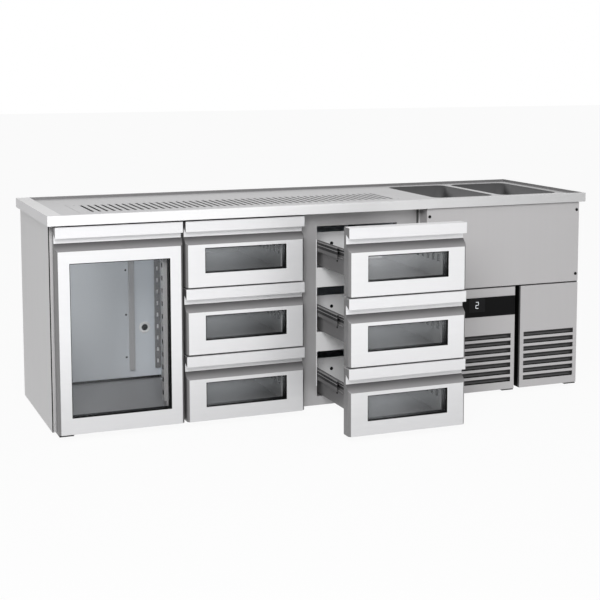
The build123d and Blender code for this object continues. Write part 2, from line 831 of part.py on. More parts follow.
# Evaporator, held between the sheets of the pillar
evaporator_x0 = opening_right[1] + pillar_sheet
evaporator_x1 = opening_left[2] - pillar_sheet
evaporator_y0 = frame_back + evaporator_front_gap
evaporator_z0 = floor_top + evaporator_rise
with BuildPart() as evaporator:
    block(
        evaporator_x0, evaporator_x1, evaporator_y0, evaporator_y0 + evaporator_plate,
        evaporator_z0, evaporator_z0 + evaporator_height,
    )
    block(
        evaporator_x0, evaporator_x1, evaporator_y0 + evaporator_length - evaporator_plate,
        evaporator_y0 + evaporator_length, evaporator_z0, evaporator_z0 + evaporator_height,
    )
    block(
        evaporator_x0 + evaporator_fin_gap, evaporator_x1 - evaporator_fin_gap,
        evaporator_y0, evaporator_y0 + evaporator_length,
        evaporator_z0 + evaporator_fin_gap, evaporator_z0 + evaporator_height - evaporator_fin_gap,
    )
save(evaporator, "evaporator")

# Condenser with its fan shroud, and the fan motor on its post behind them
condenser_x0 = bay_left_inside + condenser_side_gap
condenser_x1 = condenser_x0 + condenser_width
condenser_y0 = frame_face + bay_frame_depth + condenser_gap
condenser_y1 = condenser_y0 + condenser_depth
fan_x = (condenser_x0 + condenser_x1) / 2
fan_z = tray_top + condenser_height / 2
shroud_radius = fan_radius + fan_tip_clearance
fan_y0 = condenser_y1 + fan_gap
shroud_end = fan_y0 + fan_hub_length
motor_y0 = fan_y0 + fan_hub_length + motor_gap
with BuildPart() as condenser:
    block(condenser_x0, condenser_x1, condenser_y0, condenser_y1, tray_top, tray_top + condenser_height)
    with BuildSketch(Plane.XZ.offset(-condenser_y0)):
        with Locations((fan_x, fan_z)):
            with GridLocations(condenser_width / condenser_fin_count, 0, condenser_fin_count, 1):
                Rectangle(condenser_fin_slot, condenser_height - 2 * condenser_rim)
    extrude(amount=-condenser_fin_depth, mode=Mode.SUBTRACT)
    with BuildSketch(Plane.XZ.offset(-condenser_y1)):
        with Locations((fan_x, fan_z)):
            Circle(shroud_radius + shroud_sheet)
            Circle(shroud_radius, mode=Mode.SUBTRACT)
    extrude(amount=-(shroud_end - condenser_y1))
    with BuildSketch(Plane.XZ.offset(-motor_y0)):
        with Locations((fan_x, fan_z)):
            Circle(motor_radius)
    extrude(amount=-motor_length)
    with BuildSketch(Plane.XZ.offset(-fan_y0)):
        with Locations((fan_x, fan_z)):
            Circle(shaft_radius)
    extrude(amount=-(motor_y0 - fan_y0))
    motor_y = motor_y0 + motor_length / 2
    block(
        fan_x - motor_post_width / 2, fan_x + motor_post_width / 2,
        motor_y - motor_post_length / 2, motor_y + motor_post_length / 2, tray_top, fan_z,
    )
save(condenser, "condenser")

# Fan on the motor's shaft, drawing air through the condenser
fan_plane = Plane(origin=(fan_x, fan_y0 + fan_hub_length / 2, fan_z), x_dir=(1, 0, 0), z_dir=(0, -1, 0))
blade_length = fan_radius - fan_hub_radius / 2
with BuildPart(fan_plane) as condenser_fan:
    Cylinder(fan_hub_radius, fan_hub_length)
    with PolarLocations(fan_hub_radius / 2 + blade_length / 2, fan_blade_count):
        Box(blade_length, fan_blade_width, fan_blade_thickness, rotation=(fan_blade_pitch, 0, 0))
    with BuildSketch(fan_plane.offset(-fan_hub_length)):
        Circle(fan_radius)
    extrude(amount=2 * fan_hub_length, mode=Mode.INTERSECT)
    Cylinder(shaft_radius + shaft_clearance, fan_hub_length, mode=Mode.SUBTRACT)
save(condenser_fan, "condenser_fan")

# Compressor on three rubber feet
compressor_x = right_inside - compressor_side_gap - compressor_radius
compressor_y = back_inside - compressor_back_gap - compressor_radius
compressor_base = tray_top + compressor_foot_height
with BuildPart() as compressor:
    post(compressor_x, compressor_y, compressor_base, compressor_base + compressor_height, compressor_radius)
    fillet(compressor.edges().group_by(Axis.Z)[-1], radius=compressor_dome)
    for i in range(compressor_foot_count):
        turn = 2 * math.pi * i / compressor_foot_count
        post(
            compressor_x + compressor_foot_circle * math.cos(turn),
            compressor_y + compressor_foot_circle * math.sin(turn),
            tray_top, compressor_base, compressor_foot_radius,
        )
save(compressor, "compressor")

# Levelling feet under the corners and the bulkhead
foot_x = [body_left + foot_inset_x, bay_left, body_right - foot_inset_x]
foot_y = [frame_face + foot_inset_y, body_back - foot_inset_y]
with BuildPart() as feet:
    for x in foot_x:
        for y in foot_y:
            post(x, y, 0, foot_pad_height, foot_radius)
            post(x, y, foot_pad_height, foot_height, foot_stem_radius)
save(feet, "feet")

print(f"counter {counter_width:.0f} x {counter_depth:.0f} x {counter_height:.0f}, {slot_count} drip slots")
print(f"runner {runner_length:.0f}, box {box_length:.0f}, drawer front {drawer_front_height:.1f}")
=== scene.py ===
import json
import math

import bmesh
import bpy
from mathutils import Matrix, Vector


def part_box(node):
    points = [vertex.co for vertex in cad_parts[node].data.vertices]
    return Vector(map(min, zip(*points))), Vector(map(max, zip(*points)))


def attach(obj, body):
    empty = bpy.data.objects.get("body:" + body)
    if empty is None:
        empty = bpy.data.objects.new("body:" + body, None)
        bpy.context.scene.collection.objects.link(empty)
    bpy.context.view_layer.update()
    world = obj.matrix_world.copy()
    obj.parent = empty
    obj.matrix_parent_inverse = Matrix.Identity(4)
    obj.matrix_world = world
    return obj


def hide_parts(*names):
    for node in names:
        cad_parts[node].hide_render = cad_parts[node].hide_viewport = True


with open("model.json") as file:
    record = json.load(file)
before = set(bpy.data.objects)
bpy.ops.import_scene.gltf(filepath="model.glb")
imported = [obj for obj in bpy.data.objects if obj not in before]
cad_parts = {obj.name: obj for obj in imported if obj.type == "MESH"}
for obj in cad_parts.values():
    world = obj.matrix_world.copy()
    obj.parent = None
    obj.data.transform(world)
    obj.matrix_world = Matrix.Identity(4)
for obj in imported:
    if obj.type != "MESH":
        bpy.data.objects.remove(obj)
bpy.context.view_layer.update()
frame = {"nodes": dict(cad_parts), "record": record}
nodes = frame["nodes"]
record = frame["record"]
slotOf = {part["node"]: part["material_slot"] for part in record["subparts"]}
bodyOf = {node: body for body, members in record["behaviour"]["bodies"].items() for node in members}
drawers = [f"{side}_drawer_{row}" for side in ("left", "right") for row in (1, 2, 3)]
fronts = ["door"] + drawers
mergeGap = 1e-5  # metres, closes the seams of a copied node
print("frame loaded with", len(nodes), "nodes")


class Wire:  # a node's socket that takes arithmetic, each operator adds a Math node
    def __init__(self, tree, socket=None):
        self.tree = tree
        self.socket = socket

    def node(self, kind, settings=None, sockets=None, out=0):
        made = self.tree.nodes.new(kind)
        for key, value in (settings or {}).items():
            setattr(made, key, value)
        for key, value in (sockets or {}).items():
            if isinstance(value, Wire):
                self.tree.links.new(value.socket, made.inputs[key])
            else:
                made.inputs[key].default_value = value
        return Wire(self.tree, made.outputs[out])

    def sums(self, operation, *values):
        return self.node("ShaderNodeMath", {"operation": operation}, dict(enumerate(values)))

    def __add__(self, other):
        return self.sums("ADD", self, other)

    def __sub__(self, other):
        return self.sums("SUBTRACT", self, other)

    def __mul__(self, other):
        return self.sums("MULTIPLY", self, other)

    def __rsub__(self, other):
        return self.sums("SUBTRACT", other, self)

    __radd__ = __add__
    __rmul__ = __mul__


def newPaint(name, fixed):
    material = bpy.data.materials.new(name)
    material.use_nodes = True
    tree = material.node_tree
    shader = tree.nodes["Principled BSDF"]
    for key, value in fixed.items():
        shader.inputs[key].default_value = value
    place = Wire(tree).node("ShaderNodeTexCoord", out="Object")

    def feed(key, wire):
        tree.links.new(wire.socket, shader.inputs[key])

    return material, place, feed


def noise(place, stretch, detail=3.0):
    mapped = place.node("ShaderNodeMapping", sockets={"Vector": place, "Scale": stretch})
    return place.node("ShaderNodeTexNoise", sockets={"Vector": mapped, "Scale": 1.0, "Detail": detail})


def shaded(place, tint, tone):  # a colour made lighter or darker over the surface
    return place.node("ShaderNodeVectorMath", {"operation": "SCALE"}, {0: tint, "Scale": tone})


def bumped(place, height, strength, distance):
    sockets = {"Strength": strength, "Distance": distance, "Height": height}
    return place.node("ShaderNodeBump", sockets=sockets)


# brushed sheet: long streaks along one axis, finer hairs in them and broad clouds over them
steelSettings = dict(streakScale=70, hairScale=520, alongScale=1.6, cloudScale=2.2, bumpDepth=0.0003)


def ramp(place, axis, start, end):  # 0 to 1 along an axis, eased at both ends
    value = place.node("ShaderNodeSeparateXYZ", sockets={0: place}, out=axis)
    return place.node(
        "ShaderNodeMapRange", {"interpolation_type": "SMOOTHSTEP"}, {0: value, 1: start, 2: end}
    )


def brushedSteel(name, tint, along="X", rough=0.34, streak=0.05, cloud=0.05, metal=0.75, paintedLightRamp=None):
    s = steelSettings
    material, place, feed = newPaint(name, {"Metallic": metal})
    axis = "XYZ".index(along)
    stretch = [s["streakScale"]] * 3
    stretch[axis] = s["alongScale"]
    fine = [s["hairScale"]] * 3
    fine[axis] = s["alongScale"] * 4
    streaks = noise(place, stretch, 4.0)
    hairs = noise(place, fine, 2.0)
    clouds = noise(place, [s["cloudScale"]] * 3, 2.0)
    tone = 1 + (streaks - 0.5) * streak + (clouds - 0.5) * cloud + (hairs - 0.5) * streak
    if paintedLightRamp:  # painted light and shade, a broad change of tone: axis, start, end, gain and the UV map it follows, if any
        along = place.node("ShaderNodeUVMap", {"uv_map": paintedLightRamp[4]}) if len(paintedLightRamp) > 4 else place
        tone = tone + ramp(along, *paintedLightRamp[:3]) * paintedLightRamp[3]
    feed("Base Color", shaded(place, tint, tone))
    feed("Roughness", rough + (hairs - 0.5) * 0.16 + (clouds - 0.5) * 0.10)
    feed("Normal", bumped(place, hairs + streaks, 0.10, s["bumpDepth"]))
    return material


def mouldedPlastic(name, tint, rough, grainScale=900, coat=0.0, gloss=0.5):
    fixed = {"Coat Weight": coat, "Coat Roughness": 0.08, "Specular IOR Level": gloss}
    material, place, feed = newPaint(name, fixed)
    grain = noise(place, [grainScale] * 3, 2.0)
    smudge = noise(place, [14] * 3, 3.0)
    feed("Base Color", shaded(place, tint, 0.85 + smudge * 0.3))
    feed("Roughness", rough + (smudge - 0.5) * 0.16)
    feed("Normal", bumped(place, grain, 0.12, 0.0002))
    return material


def clearGlass(name, tint, clear, reflectionGain):  # almost clear, with a painted reflection: a veil that fades to the lower right
    material, place, feed = newPaint(name, {"IOR": 1.5, "Specular IOR Level": 0.1})
    spot = place.node("ShaderNodeUVMap", {"uv_map": "pane"})
    drift = noise(place, [3.0, 0.5, 1.4], 1.0)
    paintedReflection = (1 - ramp(spot, "X", 0.0, 1.1)) * 0.6 + ramp(spot, "Y", 0.1, 1.0) * 0.4 + (drift - 0.5) * 0.3
    feed("Base Color", shaded(place, tint, 0.85 + drift * 0.3))
    feed("Roughness", 0.04 + drift * 0.05)
    feed("Alpha", clear + paintedReflection * reflectionGain)
    return material


def litDigit(name, tint, strength):
    material, place, feed = newPaint(name, {"Emission Strength": strength, "Roughness": 0.4})
    glow = noise(place, [60] * 3, 1.0)
    feed("Base Color", shaded(place, tint, 0.9 + glow * 0.1))
    feed("Emission Color", shaded(place, tint, 0.92 + glow * 0.16))
    return material


# the stainless parts share one steel; the worktop, walls, panels, frame and drawer boxes take darker tints
# than the fronts, partly as painted shade for how the light falls on them
paints = {
    # painted shade: the fronts are darker towards the floor and lighter up to 0.45 m
    "front_steel": brushedSteel(
        "front_steel", (0.71, 0.71, 0.72), "X", 0.40, 0.04, 0.04, 0.40, ("Z", 0.0, 0.45, 0.21)
    ),
    "worktop_steel": brushedSteel("worktop_steel", (0.58, 0.575, 0.585), "X", 0.36, 0.05, 0.05, 0.6),
    # painted shade: the bowls take a far darker tint than the deck, for the shade in the recess
    "bowl_steel": brushedSteel("bowl_steel", (0.15, 0.15, 0.153), "Z", 0.38, 0.01, 0.04, 0.7),
    "outer_steel": brushedSteel("outer_steel", (0.60, 0.595, 0.60), "Z", 0.42, 0.04, 0.05, 0.45),
    "panel_steel": brushedSteel("panel_steel", (0.57, 0.56, 0.565), "Z", 0.46, 0.03, 0.04, 0.3),
    "frame_steel": brushedSteel("frame_steel", (0.45, 0.445, 0.45), "Z", 0.40, 0.05, 0.05, 0.4),
    # painted reflection: the liner grows lighter towards the right of the back wall
    "liner_steel": brushedSteel(
        "liner_steel", (0.58, 0.61, 0.64), "Z", 0.36, 0.01, 0.05, 0.4, ("X", -0.78, -0.62, 0.30)
    ),
    "box_steel": brushedSteel("box_steel", (0.36, 0.365, 0.37), "Y", 0.36, 0.05, 0.10, 0.4),
    "runner_steel": brushedSteel("runner_steel", (0.014, 0.014, 0.015), "Y", 0.50, 0.08, 0.06, 0.1),
    "chromed_brass": brushedSteel("chromed_brass", (0.75, 0.75, 0.76), "Z", 0.12, 0.03, 0.03, 1.0),
    "coil_aluminium": brushedSteel("coil_aluminium", (0.06, 0.06, 0.062), "Z", 0.50, 0.1, 0.1, 0.4),
    "black_screw": mouldedPlastic("black_screw", (0.005, 0.005, 0.005), 0.50, gloss=0.15),
    "black_steel": mouldedPlastic("black_steel", (0.015, 0.015, 0.015), 0.45),
    "black_plastic": mouldedPlastic("black_plastic", (0.02, 0.02, 0.02), 0.55),
    "black_fascia": mouldedPlastic("black_fascia", (0.003, 0.003, 0.0033), 0.45, 300, 0.0, 0.10),
    "gasket_rubber": mouldedPlastic("gasket_rubber", (0.05, 0.05, 0.052), 0.7),
    "fan_plastic": mouldedPlastic("fan_plastic", (0.03, 0.03, 0.032), 0.5),
    "compressor_paint": mouldedPlastic("compressor_paint", (0.012, 0.012, 0.013), 0.35, 160, 0.3),
    # painted reflection on the drawers' glass
    "insulating_glass": clearGlass("insulating_glass", (0.70, 0.73, 0.76), 0.002, 0.12),
}
# the door glass has a fainter painted reflection
doorGlass = clearGlass("door_glass", (0.70, 0.73, 0.76), 0.002, 0.03)
# painted shade and painted light: darker copies of the steel for folds and faces that lie out of the light,
# lighter copies for faces in it
# painted shade on the grip slope under the lip, darkest at its top and lighter towards its foot
gripShade = brushedSteel(
    "grip_painted_shade", (0.115, 0.113, 0.115), "X", 0.44, 0.04, 0.05, 0.3, ("Y", 0.063, 0.092, 1.9, "drop")
)
# painted highlights on the lips and ribs of the runners and on the faces of the runner rails
highlightSteel = brushedSteel("painted_highlight_steel", (0.50, 0.495, 0.50), "Z", 0.40, 0.04, 0.05, 0.5)
# painted shade for flanks, steps, floors and uprights that lie out of the light
shadeSteel = brushedSteel("painted_shade_steel", (0.22, 0.217, 0.22), "Z", 0.44, 0.04, 0.05, 0.3)
# painted deep shade on folds, louvre blades, filter ribs and the pan under the grid
deepShadeSteel = brushedSteel("painted_deep_shade", (0.10, 0.099, 0.10), "X", 0.44, 0.05, 0.06, 0.4)
# painted light on faces in shade: frame bars, the post's edge, slot floors and box backs
litSteel = brushedSteel("painted_light_steel", (0.90, 0.90, 0.905), "X", 0.40, 0.03, 0.03, 0.25)
# painted light on the top of the worktop's rim
rimLight = brushedSteel("painted_rim_light", (0.80, 0.795, 0.80), "X", 0.36, 0.04, 0.05, 0.5)
# painted light on the worktop's front edge, shading off towards the right
edgeLightShade = brushedSteel(
    "painted_edge_light_and_shade", (0.93, 0.93, 0.935), "X", 0.36, 0.03, 0.03, 0.25, ("X", -0.3, 1.1, -0.32)
)
# painted shade on the box sides and on the lower bands of the runners
sideShade = brushedSteel("painted_side_shade", (0.20, 0.197, 0.20), "Y", 0.40, 0.05, 0.06, 0.4)
# the black of the spacers, beads, screws, vents, filters, plugs and cove, and painted shade in gaps, slots,
# linings and under parts
blackAndShade = mouldedPlastic("black_and_painted_shade", (0.005, 0.005, 0.005), 0.6, gloss=0.05)
displayDark = mouldedPlastic("display_dark", (0.010, 0.010, 0.011), 0.40, 300, 0.0, 0.12)
digitWhite = litDigit("digit_white", (0.90, 0.93, 0.97), 0.45)
portGrey = mouldedPlastic("port_grey", (0.78, 0.78, 0.78), 0.5)
copperPipe = brushedSteel("copper_pipe", (0.66, 0.32, 0.20), "Z", 0.28, 0.08, 0.10, 1.0)
print("paints mixed:", len(bpy.data.materials))

for name, node in nodes.items():
    if node.material_slots:
        node.material_slots[0].material = paints[slotOf[name]]
    else:
        node.data.materials.append(paints[slotOf[name]])


def corners(name):
    low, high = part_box(name)
    return Vector(low), Vector(high)


def addPiece(work, name, body, slot, material=None):  # a finished bmesh becomes a piece that rides on a body
    bmesh.ops.recalc_face_normals(work, faces=work.faces)
    mesh = bpy.data.meshes.new(name)
    work.to_mesh(mesh)
    work.free()
    mesh.materials.append(material or paints[slot])
    piece = bpy.data.objects.new(name, mesh)
    bpy.context.scene.collection.objects.link(piece)
    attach(piece, body)
    return piece


def smoothed(piece, angle=32):
    piece.data.shade_smooth()
    piece.data.set_sharp_from_angle(angle=math.radians(angle))


def edged(piece, width, segments=2):  # rounds the sharp edges, so that they catch the light
    edge = piece.modifiers.new("edge", "BEVEL")
    edge.width = width
    edge.segments = segments
    edge.limit_method = "ANGLE"
    edge.angle_limit = math.radians(28)
    edge.use_clamp_overlap = True
    flat = piece.modifiers.new("flat", "WEIGHTED_NORMAL")  # keeps the broad faces flat between round edges
    flat.weight = 100
    piece.data.shade_smooth()


def sheetCopy(name, width, cuts=()):  # the node's own shape with folded, not razor-sharp, edges
    work = bmesh.new()
    work.from_mesh(nodes[name].data)
    bmesh.ops.remove_doubles(work, verts=work.verts, dist=mergeGap)
    bmesh.ops.dissolve_limit(
        work, angle_limit=math.radians(0.4), verts=work.verts, edges=work.edges,
        use_dissolve_boundaries=False,
    )
    for point, normal in cuts:  # seams for a second finish
        geom = work.verts[:] + work.edges[:] + work.faces[:]
        bmesh.ops.bisect_plane(work, geom=geom, dist=mergeGap, plane_co=point, plane_no=normal)
    piece = addPiece(work, name + "_sheet", bodyOf[name], slotOf[name])
    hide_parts(name)
    edged(piece, width)
    return piece


def paintFaces(piece, material, rule):  # a second finish where the rule picks a face's centre and normal
    piece.data.materials.append(material)
    index = len(piece.data.materials) - 1
    for face in piece.data.polygons:
        if rule(face.center, face.normal):
            face.material_index = index


def addBlock(work, low, high):
    made = bmesh.ops.create_cube(work, size=1.0)["verts"]
    middle = (Vector(low) + Vector(high)) / 2
    span = Vector(high) - Vector(low)
    bmesh.ops.scale(work, vec=span, verts=made)
    bmesh.ops.translate(work, vec=middle, verts=made)
    return made


def addRing(work, low, high, width):  # a square ring in X and Z, as deep as low to high in Y
    made = [work.verts.new((x, low[1], z)) for x, z in (
        (low[0], low[2]), (high[0], low[2]), (high[0], high[2]), (low[0], high[2]),
    )]
    face = work.faces.new(made)
    work.normal_update()
    ring = bmesh.ops.inset_region(
        work, faces=[face], thickness=width, use_boundary=True, use_even_offset=True
    )["faces"]
    bmesh.ops.delete(work, geom=[face], context="FACES_ONLY")
    swept = bmesh.ops.extrude_face_region(work, geom=ring, use_keep_orig=True)["geom"]
    bmesh.ops.translate(
        work, vec=(0, high[1] - low[1], 0), verts=[g for g in swept if isinstance(g, bmesh.types.BMVert)]
    )


turnAxes = {"X": ((1, 0, 0), (0, 0, 1)), "Y": ((0, -1, 0), (1, 0, 0)), "Z": ((0, 0, 1), (1, 0, 0))}


def addTurned(work, profile, centre, axis="Z", steps=32):  # a lathe shape from (radius, height) points
    along, out = [Vector(v) for v in turnAxes[axis]]
    line = [work.verts.new(Vector(centre) + out * radius + along * height) for radius, height in profile]
    edges = [work.edges.new(pair) for pair in zip(line, line[1:])]
    bmesh.ops.spin(
        work, geom=line + edges, cent=centre, axis=along, angle=2 * math.pi, steps=steps, use_merge=True
    )
    bmesh.ops.remove_doubles(work, verts=work.verts, dist=mergeGap / 10)


def addPipe(name, points, radius, body, slot, material):  # a bent tube along a smooth path
    curve = bpy.data.curves.new(name, "CURVE")
    curve.dimensions = "3D"
    curve.bevel_depth = radius
    curve.bevel_resolution = 3
    curve.use_fill_caps = True
    path = curve.splines.new("NURBS")
    path.points.add(len(points) - 1)
    for knot, place in zip(path.points, points):
        knot.co = (*place, 1)
    path.order_u = 3
    path.use_endpoint_u = True
    path.resolution_u = 6
    holder = bpy.data.objects.new(name + "_path", curve)
    mesh = bpy.data.meshes.new_from_object(holder)
    bpy.data.objects.remove(holder)
    work = bmesh.new()
    work.from_mesh(mesh)
    bmesh.ops.remove_doubles(work, verts=work.verts, dist=mergeGap / 10)
    piece = addPiece(work, name, body, slot, material)
    piece.data.shade_smooth()
    return piece


# sheet metal that keeps its CAD shape, with the radius of each fold
foldRadius = {
    "worktop": 0.0016, "left_wall": 0.0015, "right_wall": 0.0015, "back_panel": 0.0012,
    "front_frame": 0.0012, "bay_frame": 0.0010, "service_panel": 0.0012, "control_panel": 0.0010,
    "grille_panel": 0.0010,
    "drip_grid": 0.0005, "drip_pan": 0.0005, "pillars": 0.0005, "pilasters": 0.0006, "hinge_plates": 0.0008,
    "runner_rails": 0.0003, "floor_panels": 0.0008, "ceiling_panel": 0.0008, "bulkhead": 0.0008,
}
openColumn = corners("right_drawer_1_runners")  # the stretch of frame that the open drawers leave bare
webGap = 0.0026  # from a middle member's web to the rail outside it
litSpan = openColumn[0].x - webGap, openColumn[1].x + webGap
litRise = 0.10, 0.70  # painted light on the frame between these heights
endShadeAndHighlight = 0.3815, 0.3925, 0.3985  # painted shade on a fold and a painted highlight on a lip at the frame's right end
postHighlight = litSpan[0] - 0.0045  # painted highlight on the edge of the post beside the open drawers
barCuts = [((x, 0, 0), (1, 0, 0)) for x in (postHighlight,) + litSpan + endShadeAndHighlight]
barCuts += [((0, 0, z), (0, 0, 1)) for z in litRise]
wallShadowLine = corners("left_wall")[0].x + 0.0045  # a painted shadow line along the wall's front edge
panelLine = corners("grille_panel")[0].y + 0.012
panelGap = corners("control_panel")[1].x - 0.003, corners("grille_panel")[0].x + 0.003
sheetCuts = {
    "front_frame": barCuts, "left_wall": [((wallShadowLine, 0, 0), (1, 0, 0))],
    "grille_panel": [((0, panelLine, 0), (0, 1, 0))], "control_panel": [((0, panelLine, 0), (0, 1, 0))],
    "bay_frame": [((x, 0, 0), (1, 0, 0)) for x in panelGap],
}
sheets = {name: sheetCopy(name, width, sheetCuts.get(name, ())) for name, width in foldRadius.items()}
# painted light on the frame's bars and the post's edge, and a painted highlight on the lip at the right end
paintFaces(
    sheets["front_frame"], litSteel,
    lambda c, n: n.y < -0.9 and (
        postHighlight < c.x < litSpan[1] and litRise[0] < c.z < litRise[1] or endShadeAndHighlight[1] < c.x < endShadeAndHighlight[2]
    ),
)
# painted shade on the fold at the frame's right end
paintFaces(sheets["front_frame"], deepShadeSteel, lambda c, n: n.y < -0.9 and endShadeAndHighlight[0] < c.x < endShadeAndHighlight[1])
topLow, topHigh = corners("worktop")
# painted light and shade on the worktop's front edge
paintFaces(sheets["worktop"], edgeLightShade, lambda c, n: n.y < -0.9 and c.y < topLow.y + 0.002)
paintFaces(  # painted shade: the steps up to the rim face away from the light
    sheets["worktop"], shadeSteel,
    lambda c, n: (n.y < -0.7 and c.y > 0.4 or n.x < -0.7 and c.x > 1.08) and c.z > topHigh.z - 0.015,
)
# painted light on the rim
paintFaces(sheets["worktop"], rimLight, lambda c, n: n.z > 0.9 and c.z > topHigh.z - 0.002)
# painted shade under the worktop
paintFaces(sheets["worktop"], blackAndShade, lambda c, n: n.z < -0.9)
# painted shade in the pan under the grid, so that the slots read dark
paintFaces(sheets["drip_pan"], deepShadeSteel, lambda c, n: True)
# painted shade on the compartment floor
paintFaces(sheets["floor_panels"], shadeSteel, lambda c, n: n.z > 0.9 and c.x < 0.35)
# painted shadow in the gap between the panels
paintFaces(sheets["bay_frame"], blackAndShade, lambda c, n: n.y < -0.9 and panelGap[0] < c.x < panelGap[1])
for name in ("control_panel", "grille_panel"):  # painted shade on the blades of the louvres and on the flanks in the gap between the panels
    paintFaces(sheets[name], deepShadeSteel, lambda c, n: 0.3 < abs(n.z) < 0.95 or n.z < -0.9)
    paintFaces(sheets[name], blackAndShade, lambda c, n: (
        abs(n.x) > 0.9 and c.y > panelLine and panelGap[0] - 0.002 < c.x < panelGap[1] + 0.002
    ))
    paintFaces(sheets[name], shadeSteel, lambda c, n: abs(n.x) > 0.9 and c.y < panelLine)
# painted shade under the service panel
paintFaces(sheets["service_panel"], blackAndShade, lambda c, n: n.z < -0.9)
slotEnd = corners("pilasters")[1].y
slotFloor = slotEnd - 0.0045, slotEnd - 0.001  # the floors of the slots at the back
stileSlots = -0.0625, -0.0385  # the depth that the uprights on the stiles take up
stripFaces = -0.698, -1.058  # the faces of the uprights on the stiles
paintFaces(sheets["pilasters"], paints["frame_steel"], lambda c, n: True)
paintFaces(  # painted shade: the back uprights are darker than the plain duct cover
    sheets["pilasters"], shadeSteel, lambda c, n: c.y > 0 and (c.x > -0.62 or c.x < -1.0)
)
paintFaces(  # painted shade in the slots at the front, painted light on the wall behind the slots at the back
    sheets["pilasters"], blackAndShade,
    lambda c, n: stileSlots[0] < c.y < stileSlots[1] and all(abs(c.x - x) > 0.0008 for x in stripFaces),
)
paintFaces(
    sheets["pilasters"], litSteel, lambda c, n: n.y < -0.9 and slotFloor[0] < c.y < slotFloor[1]
)
# the liner, with its painted reflection, on the back wall's inner face
paintFaces(sheets["back_panel"], paints["liner_steel"], lambda c, n: n.y < -0.9)
# painted shadow line on the wall's front edge
paintFaces(sheets["left_wall"], blackAndShade, lambda c, n: n.y < -0.9 and c.x < wallShadowLine)
slideBands = dict(lip=0.0025, groove=0.013, rib=0.0155, foot=0.027)  # down from the top of a runner, where its painted highlights and shade change


def runnerLightAndShade(piece, top, onRunner):  # painted highlights on the lips and ribs of a black runner, and the box side's painted shade below it
    b = slideBands
    paintFaces(piece, highlightSteel, lambda c, n: onRunner(c) and (
        n.z > 0.9 or abs(n.x) > 0.9 and (top - c.z < b["lip"] or b["groove"] < top - c.z < b["rib"])
    ))
    paintFaces(piece, sideShade, lambda c, n: onRunner(c) and abs(n.x) > 0.9 and top - c.z > b["foot"])


for name in drawers:
    top = corners(name + "_runners")[1].z
    bandCuts = [((0, 0, top - drop), (0, 0, 1)) for drop in slideBands.values()]
    runnerLightAndShade(sheetCopy(name + "_runners", 0.0003, bandCuts), top, lambda c: True)
# painted highlights on the top and bottom faces of the runner rails
paintFaces(sheets["runner_rails"], highlightSteel, lambda c, n: abs(n.z) > 0.9)
print("sheet metal folded:", len(foldRadius) + len(drawers))

# fronts with their double glazing and seals
glazing = dict(
    bite=0.007, sight=0.004, pane=0.004, edge=0.0006, beadWidth=0.0027, beadProud=0.0015, play=0.0004,
    lining=0.004,
)
seal = dict(
    baseDepth=0.003, baseWidth=0.016, bellowsDepth=0.0047, bellowsWidth=0.009, magnetDepth=0.0040,
    magnetInset=0.001,
)


def frontWithGlass(name):
    panel = sheetCopy(name + "_front", 0.0014)
    start, end = corners(name + "_front")
    drop = panel.data.uv_layers.new(name="drop")  # metres below the top edge, for the grip's painted shade
    for loop in panel.data.loops:
        drop.data[loop.index].uv = 0, end.z - panel.data.vertices[loop.vertex_index].co.z
    low, high = corners(name + "_glass")
    rim = Vector((glazing["lining"], 0, glazing["lining"]))
    hole = low - rim, high + rim

    def lining(c, n):  # the faces round the window, painted black as shade
        within = hole[0].x < c.x < hole[1].x and hole[0].z < c.z < hole[1].z
        return within and abs(n.y) < 0.5

    # painted shade on the grip slope, the sides and chamfers, the window's lining and the front's underside
    paintFaces(panel, gripShade, lambda c, n: n.z > 0.4 and n.y < -0.3)
    paintFaces(panel, shadeSteel, lambda c, n: abs(n.x) > 0.5 and c.y < start.y + 0.049)
    paintFaces(panel, blackAndShade, lambda c, n: lining(c, n) or n.z < -0.9 and c.z < start.z + 0.002)
    body = bodyOf[name + "_glass"]
    panes = bmesh.new()
    addBlock(panes, low, (high.x, low.y + glazing["pane"], high.z))
    addBlock(panes, (low.x, high.y - glazing["pane"], low.z), high)
    spread = panes.loops.layers.uv.new("pane")  # 0 to 1 across and up the pane
    for face in panes.faces:
        for loop in face.loops:
            at = loop.vert.co - low
            loop[spread].uv = at.x / (high.x - low.x), at.z / (high.z - low.z)
    glass = doorGlass if name == "door" else paints["insulating_glass"]
    pane = addPiece(panes, name + "_panes", body, "insulating_glass", glass)
    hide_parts(name + "_glass")
    edged(pane, glazing["edge"])
    spacer = bmesh.new()
    gap = Vector((glazing["play"], glazing["pane"], glazing["play"]))
    addRing(spacer, low + gap, high - gap, glazing["bite"] + glazing["sight"] - gap.x)
    inset = glazing["bite"] - glazing["play"] / 2
    seat = Vector((inset, 0, inset))
    beadLow = low + seat - Vector((0, glazing["beadProud"], 0))
    addRing(spacer, beadLow, Vector((high.x, low.y, high.z)) - seat, glazing["beadWidth"])
    bar = addPiece(spacer, name + "_spacer", body, "gasket_rubber", blackAndShade)
    edged(bar, glazing["play"])


def frontSeal(name):
    low, high = corners(name + "_gasket")
    work = bmesh.new()
    inset = (seal["baseWidth"] - seal["bellowsWidth"]) / 2
    y = low.y
    layers = [("baseDepth", 0), ("bellowsDepth", inset), ("magnetDepth", seal["magnetInset"])]
    for layer, margin in layers:
        depth = seal[layer]
        start = Vector((low.x + margin, y, low.z + margin))
        end = Vector((high.x - margin, y + depth, high.z - margin))
        addRing(work, start, end, seal["baseWidth"] - 2 * margin)
        y += depth
    piece = addPiece(work, name + "_seal", bodyOf[name + "_gasket"], "gasket_rubber")
    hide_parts(name + "_gasket")
    edged(piece, 0.0008)


for name in fronts:
    frontWithGlass(name)
    frontSeal(name)
print("fronts glazed:", len(fronts))

